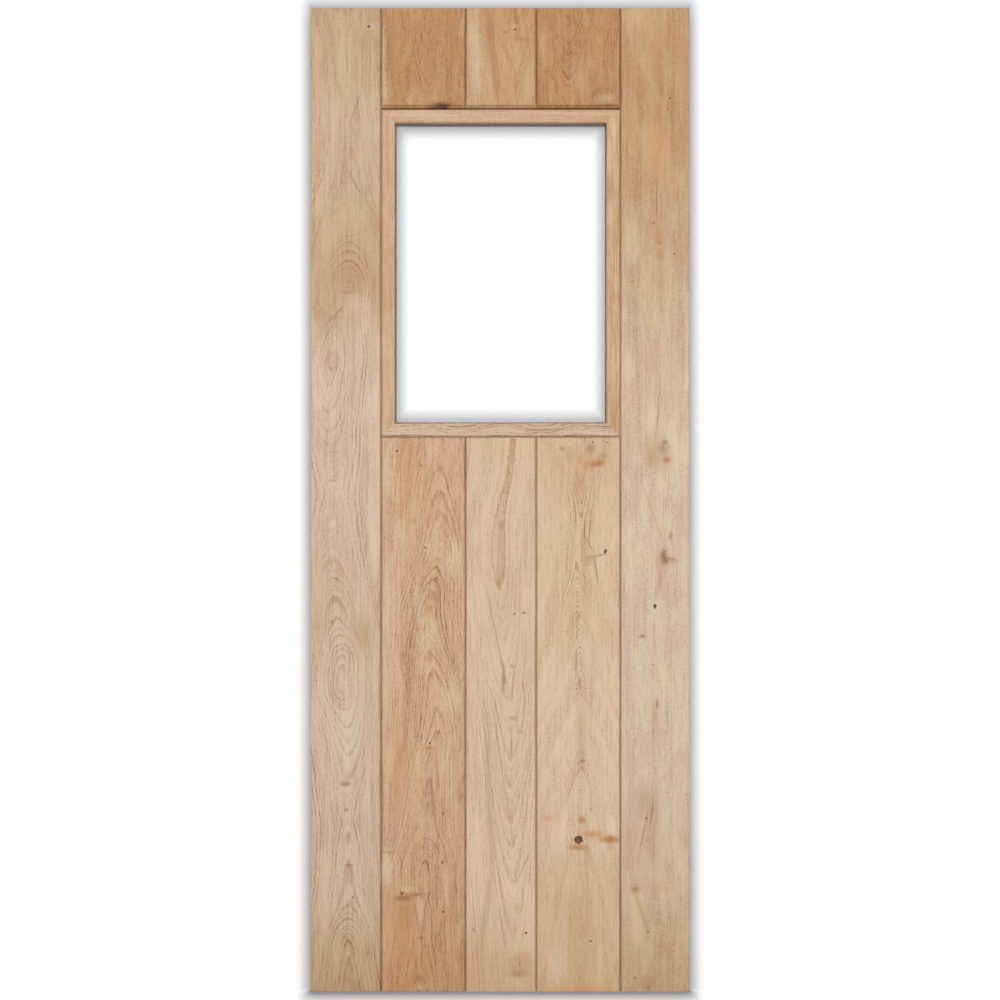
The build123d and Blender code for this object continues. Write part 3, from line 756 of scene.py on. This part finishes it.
            ("knot", -115, 1784, 12, 3.5), ("pin", -113, 1783, 9, 3.4), ("dark", -131, 1781, 14, 2),
        ),
    ),
    "upper_middle_board": Board(
        seed=6.3, tone=(209, 177, 142), deep=(150, 104, 66), light=(226, 202, 172), line=0.60, streak=0.36,
        mottle=0.36, groove_foot=1790,
        tan=((1781, 0.60), (1884, 0.66), (1981, 0.80)),
        heart=((1781, 16), (1870, 22), (1981, 40)),
        rise=((1781, 5), (1981, 0)),
        base=((1781, 3), (1981, -3)),
        marks=(
            ("pale", -52, 1880, 12, 110), ("brown", -22, 1950, 5, 30, -4, 1.2),
            ("brown", -17, 1895, 5, 34, -8, 1.2), ("brown", -10, 1836, 5, 40, -6, 1.2),
            ("line", -8, 1880, 1.5, 80, -7, 0.7), ("brown", 12, 1893, 2.5, 26, -24),
            ("pin", 31, 1938, 1.8, 1.8), ("line", 10, 1933, 5, 3), ("brown", 44, 1918, 14, 5, 10),
            ("olive", 12, 1820, 10, 30, 0, 0.5), ("red", -64, 1844, 2, 3),
        ),
    ),
    "upper_right_board": Board(
        seed=8.6, tone=(195, 154, 113), deep=(146, 94, 52), light=(212, 178, 138), line=0.66, streak=0.42,
        mottle=0.54, pores=0.40, crinkle=2.4, rays=0.16, blotch=0.20, groove_foot=1790,
        tan=((1781, 0.62), (1981, 0.63)),
        heart=((1781, 141), (1877, 138), (1981, 137)),
        rise=((1781, 10), (1981, 0)),
        base=((1781, 7), (1981, -3)),
        marks=(
            ("line", 140, 1960, 3, 8), ("brown", 205, 1822, 26, 22, 20, 0.5),
            ("pale", 212, 1798, 13, 8, 0, 0.7), ("line", 215, 1786, 16, 1.8, 0, 1.3),
        ),
    ),
    "window_left_jamb": Board(
        seed=3.1, tone=(202, 166, 133), deep=(160, 116, 76), line=0.34, streak=0.42, mottle=0.26, rays=0.14,
        tan=((1118, 0.06), (1777, 0.06)),
        heart=((1118, -300), (1777, -310)),
        rise=((1118, 0), (1777, 1)),
        base=((1118, -1.5), (1777, -0.5)),
    ),
    "window_right_jamb": Board(
        seed=3.8, tone=(201, 162, 125), deep=(150, 102, 62), line=0.46, streak=0.70, mottle=0.30,
        tan=((1118, 0.06), (1777, 0.06)),
        heart=((1118, 320), (1777, 330)),
        rise=((1118, 0), (1777, 1)),
        base=((1118, -1.5), (1777, -0.5)),
        marks=(
            ("brown", 221, 1615, 8, 26),
        ),
    ),
    "window_top_rail": Board(
        seed=4.6, tone=(199, 163, 130), deep=(160, 116, 78), line=0.34, streak=0.40, mottle=0.36, rays=0.26,
        along="X", blotch=0.2,
        tan=((-245, 0.04), (245, 0.04)),
        heart=((-245, 1660), (245, 1670)),
        rise=((-245, 0), (245, 1)),
        base=((-245, -1.5), (245, -0.5)),
    ),
    "window_bottom_rail": Board(
        seed=5.2, ring=4.8, tone=(214, 186, 161), deep=(136, 94, 62), line=0.84, streak=0.54, mottle=0.42,
        wander=7, crinkle=1.3, along="X", blotch=0.2,
        tan=((-245, 0.08), (245, 0.08)),
        heart=((-245, 1224), (-165, 1240), (-85, 1222), (5, 1238), (80, 1224), (160, 1240), (245, 1220)),
        rise=((-245, 0), (0, 1), (245, 0)),
        base=((-245, -2), (245, -2)),
    ),
}


# Unevenness of the plain materials: how fine it is, and how much darker and duller they are at its high side
MOTTLE_SCALE = 220.0
MOTTLE_SHADE = 0.82
MOTTLE_DULLING = 0.12

# The plain oak of the ledges and beads, and the darker one of the pellets, cut from elsewhere in the log
PLAIN_TONE = (203, 172, 143)
PELLET_TONE = (188, 152, 118)
PELLET_PLACE = 330
LEAF_REACH = 1981.0
LEDGE_REACH = 381.0
HEART_DRIFT = 20
SEED_STEP = 0.013


def sawn(middle, along="Z", reach=LEAF_REACH, tone=PLAIN_TONE):
    """A plain board, sawn beside the heart of its log."""
    return Board(
        seed=abs(middle) * SEED_STEP, along=along, tone=tone, line=0.40, streak=0.28, wander=8,
        heart=((-reach, middle - HEART_DRIFT), (reach, middle + HEART_DRIFT)),
        rise=((-reach, -8), (reach, 8)), base=((-reach, -12), (reach, 4)),
    )


def dress(node, material):
    """Gives a CAD piece its material."""
    piece = bpy.data.objects[node]
    piece.data.materials.clear()
    piece.data.materials.append(material)


def plain(name, colour, roughness, **settings):
    """A material whose surface has a little unevenness and no more."""
    material = bpy.data.materials.new(name)
    material.use_nodes = True
    tree = Tree(material.node_tree)
    shader = material.node_tree.nodes["Principled BSDF"]
    place = tree.node("ShaderNodeTexCoord").outputs["Object"]
    mottle = tree.noise(place, MOTTLE_SCALE, 3.0)
    shade = tuple(MOTTLE_SHADE * level for level in colour[:3]) + (1.0,)
    tree.fill(shader.inputs["Base Color"], tree.mix(mottle, colour, shade))
    dull = tree.between(mottle, *MID_LEVELS, roughness, roughness + MOTTLE_DULLING)
    tree.fill(shader.inputs["Roughness"], dull)
    for label, value in settings.items():
        shader.inputs[label.replace("_", " ")].default_value = value
    return material


GLASS_TINT = (0.98, 0.995, 0.99, 1.0)
GLASS_INDEX = 1.5


def glass():
    """Clear float glass. It casts no shadow and stops no soft light, as a thin pane hardly does."""
    material = bpy.data.materials.new("clear float glass")
    material.use_nodes = True
    shader = material.node_tree.nodes["Principled BSDF"]
    shader.inputs["Base Color"].default_value = GLASS_TINT
    shader.inputs["Transmission Weight"].default_value = 1.0
    shader.inputs["Roughness"].default_value = 0.0
    shader.inputs["IOR"].default_value = GLASS_INDEX
    dress("glass_pane", material)
    pane = bpy.data.objects["glass_pane"]
    pane.visible_shadow = False
    pane.visible_diffuse = False


def dress_in_oak(node, board):
    """Gives a CAD piece an oak of its own, named after it."""
    dress(node, oak(node.replace("_", " ") + " oak", board))


def dress_leaf():
    """Every node's material."""
    steel = plain("bright steel", paint(186, 184, 178), 0.28, Metallic=1.0)
    tape = plain("brown glazing tape", paint(142, 122, 103), 0.7)
    block = plain("black setting block", paint(48, 48, 48), 0.5)
    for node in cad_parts:
        low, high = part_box(node)
        middle = (low + high) / (2 * MM)
        if node in BOARDS:
            dress_in_oak(node, BOARDS[node])
        elif node == "glass_pane":
            glass()
        elif node == "glazing_tape":
            dress(node, tape)
        elif node == "setting_blocks":
            dress(node, block)
        elif node.endswith("screws") or node == "bead_pins":
            dress(node, steel)
        elif node.endswith("pellets"):
            dress_in_oak(node, sawn(middle.z + PELLET_PLACE, "X", LEDGE_REACH, PELLET_TONE))
        elif high.x - low.x > high.z - low.z:
            dress_in_oak(node, sawn(middle.z, "X", LEDGE_REACH))
        else:
            dress_in_oak(node, sawn(middle.x))


def write_outside(tree, place, low, high):
    """How far a place lies outside an upright oblong along each axis, less than nothing inside it."""
    middle, half = (low + high) / 2, (high - low) / 2
    away = tree.vector("ABSOLUTE", tree.vector("SUBTRACT", place, tuple(middle)))
    return tree.vector("SUBTRACT", away, tuple(half))


def stage_material(name, lift):
    """White, with a painted soft shadow round the leaf, drawn as a grey rim, and glowing far from it, where
    the lamps don't reach.

    Its back is clear, so it never hides the leaf.
    """
    material = bpy.data.materials.new(name)
    material.use_nodes = True
    tree = Tree(material.node_tree)
    material.node_tree.nodes.clear()
    place = tree.node("ShaderNodeNewGeometry").outputs["Position"]
    eye = Vector((0, FACE - CAMERA_DISTANCE, LEAF_HEIGHT / 2))
    wall_y = cad_box[1].y + WALL_GAP

    def seen(corners, y):
        """An oblong at one depth, drawn on to the wall as the camera sees it."""
        grown = (wall_y - eye.y) / (y - eye.y)
        return [eye + (Vector((corner.x, y, corner.z)) - eye) * grown for corner in corners]

    def fading(off, width):
        return tree.maths("POWER", tree.between(off, 0.0, width, 1.0, 0.0, "LINEAR"), RIM_FALL)

    # Painted shadow: a soft grey rim drawn round the leaf, inside its opening and on the floor by its foot
    beyond = tree.vector("MAXIMUM", write_outside(tree, place, *seen(cad_box, FACE)), (0.0, 0.0, 0.0))
    beyond = tree.vector("MULTIPLY", beyond, RIM_REACH)
    outside = tree.node("ShaderNodeVectorMath", beyond, operation="LENGTH").outputs["Value"]
    heading = tree.vector("NORMALIZE", beyond)
    shares = tree.vector("MULTIPLY", heading, heading)
    depth = tree.node("ShaderNodeVectorMath", shares, RIM_DEPTHS, operation="DOT_PRODUCT").outputs["Value"]
    behind = tree.maths("LESS_THAN", outside, RIM_START)
    shadow_round_leaf = tree.times(fading(outside, RIM_WIDTH), depth)
    shadow_round_leaf = tree.times(shadow_round_leaf, tree.maths("SUBTRACT", 1.0, behind))
    corners = window_opening()
    across, _, up = tree.parts(write_outside(tree, place, *seen(corners, corners[0].y)))
    inside = tree.times(tree.maths("MAXIMUM", across, up), -1.0)
    shadow_in_opening = tree.times(fading(inside, OPENING_RIM_WIDTH), OPENING_RIM_DEPTH)
    painted_shadow = tree.maths("MAXIMUM", shadow_round_leaf, tree.times(shadow_in_opening, behind))
    shadow_grey = tree.vector("MULTIPLY", tree.joined(painted_shadow, painted_shadow, painted_shadow), RIM_TINT)
    pale = tree.vector("SUBTRACT", (1.0, 1.0, 1.0), shadow_grey)
    lit = tree.vector("MULTIPLY", pale, (STAGE_ALBEDO,) * 3)
    diffuse = tree.node("ShaderNodeBsdfDiffuse", lit).outputs[0]
    out = tree.vector("SUBTRACT", place, (0.0, 0.0, LEAF_HEIGHT / 2))
    off = tree.node("ShaderNodeVectorMath", out, operation="LENGTH").outputs["Value"]
    glowing = tree.between(off, WHITE_FROM, WHITE_BY, lift, 1.0)
    glow = tree.node("ShaderNodeEmission", pale, glowing).outputs[0]
    white = tree.node("ShaderNodeAddShader", diffuse, glow).outputs[0]
    clear = tree.node("ShaderNodeBsdfTransparent").outputs[0]
    back = tree.node("ShaderNodeNewGeometry").outputs["Backfacing"]
    shown = tree.node("ShaderNodeMixShader", back, white, clear).outputs[0]
    output = tree.node("ShaderNodeOutputMaterial")
    tree.fill(output.inputs["Surface"], shown)
    return material


def window_opening():
    """The low and high corners of the oblong that the painted shadow inside the opening starts from."""
    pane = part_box("glass_pane")
    low = pane[0] + Vector((OPENING_INSET, 0, SILL_INSET))
    return low, pane[1] - Vector((OPENING_INSET, 0, OPENING_INSET))


def sheet_of_stage(name, location, turn, lift):
    """A large square of the stage, seen by the camera and through glass alone."""
    bpy.ops.object.select_all(action="DESELECT")
    bpy.ops.mesh.primitive_plane_add(size=STAGE_SIZE, location=location, rotation=turn)
    sheet = bpy.context.object
    sheet.name = name
    sheet.data.materials.append(stage_material(f"white {name}", lift))
    sheet.visible_diffuse = False
    sheet.visible_glossy = False
    sheet.visible_shadow = False


def build_stage():
    """A floor just under the leaf and a wall just behind it."""
    sheet_of_stage("floor", (0, 0, -FLOOR_GAP), (0, 0, 0), FLOOR_LIFT)
    wall_place = (0, cad_box[1].y + WALL_GAP, LEAF_HEIGHT / 2)
    sheet_of_stage("wall", wall_place, (math.radians(90), 0, 0), WALL_LIFT)


def light_scene():
    """A faint white sky that the camera sees in full, and a broad lamp on each side of the leaf."""
    world = bpy.data.worlds.new("sky")
    bpy.context.scene.world = world
    world.use_nodes = True
    tree = Tree(world.node_tree)
    world.node_tree.nodes.clear()
    path = tree.node("ShaderNodeLightPath").outputs
    seen = tree.maths("MAXIMUM", path["Is Camera Ray"],
                    tree.maths("MAXIMUM", path["Is Glossy Ray"], path["Is Transmission Ray"]))
    strength = tree.between(seen, 0.0, 1.0, SKY_STRENGTH, 1.0, "LINEAR")
    sky = tree.node("ShaderNodeBackground", (1.0, 1.0, 1.0, 1.0), strength)
    output = tree.node("ShaderNodeOutputWorld")
    tree.fill(output.inputs["Surface"], sky.outputs[0])
    aim = Vector((0, 0, LEAF_HEIGHT / 2))
    for name, side in (("front lamp", -1), ("rear lamp", 1)):
        data = bpy.data.lights.new(name, "AREA")
        data.shape = "DISK"
        data.size = 2 * LAMP_RADIUS
        data.energy = LAMP_POWER
        lamp = bpy.data.objects.new(name, data)
        lamp.location = aim + Vector((0, side * LAMP_DISTANCE, LAMP_RISE))
        lamp.rotation_euler = (aim - lamp.location).to_track_quat("-Z", "Y").to_euler()
        bpy.context.scene.collection.objects.link(lamp)


def place_camera():
    """Level with the leaf's middle and square to its face."""
    data = bpy.data.cameras.new("camera")
    data.sensor_width = SENSOR_WIDTH
    data.lens = SENSOR_WIDTH * CAMERA_DISTANCE / PICTURE_WIDTH
    camera = bpy.data.objects.new("camera", data)
    camera.location = (0, FACE - CAMERA_DISTANCE, LEAF_HEIGHT / 2)
    camera.rotation_euler = (math.radians(90), 0, 0)
    bpy.context.scene.collection.objects.link(camera)
    bpy.context.scene.camera = camera


bpy.context.scene.view_settings.view_transform = "Standard"
dress_leaf()
build_stage()
light_scene()
place_camera()
